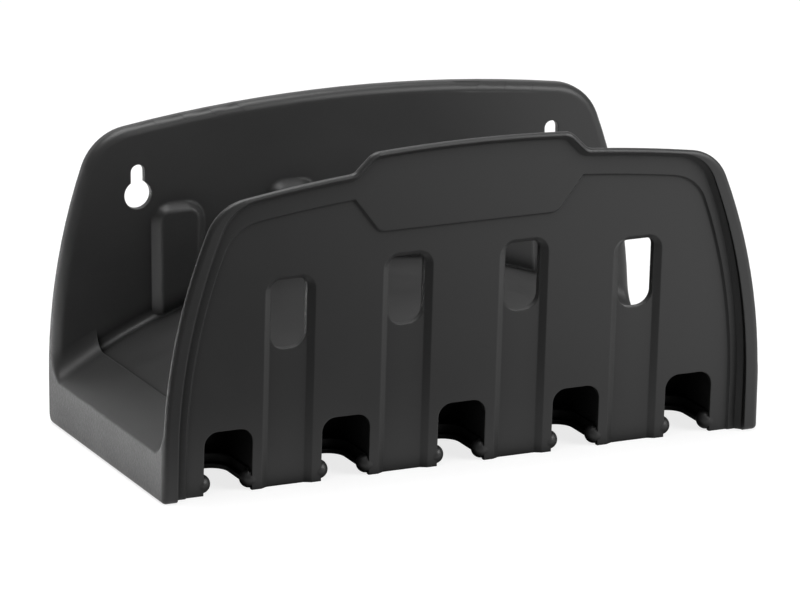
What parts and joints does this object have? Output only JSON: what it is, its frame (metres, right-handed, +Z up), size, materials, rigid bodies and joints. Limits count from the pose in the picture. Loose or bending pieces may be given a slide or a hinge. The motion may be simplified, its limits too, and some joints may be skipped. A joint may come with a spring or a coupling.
{
  "type": "hose hanger",
  "caption": "Wall hanger for a garden hose: an arched saddle between a back plate with keyholes and a leaning front plate with windows and push-fit sockets for fittings.",
  "frame": {"origin": "middle of the foot: the centre of the bounding box's bottom face", "axes": "X along the wall, +Y into the wall, +Z up; the front plate faces -Y"},
  "size_m": [0.272, 0.1376, 0.1425],
  "materials": {
    "moulded_plastic": "fine satin texture, moulded"
  },
  "bodies": {
    "root": {"hanger": "moulded_plastic"}
  },
  "joints": []
}
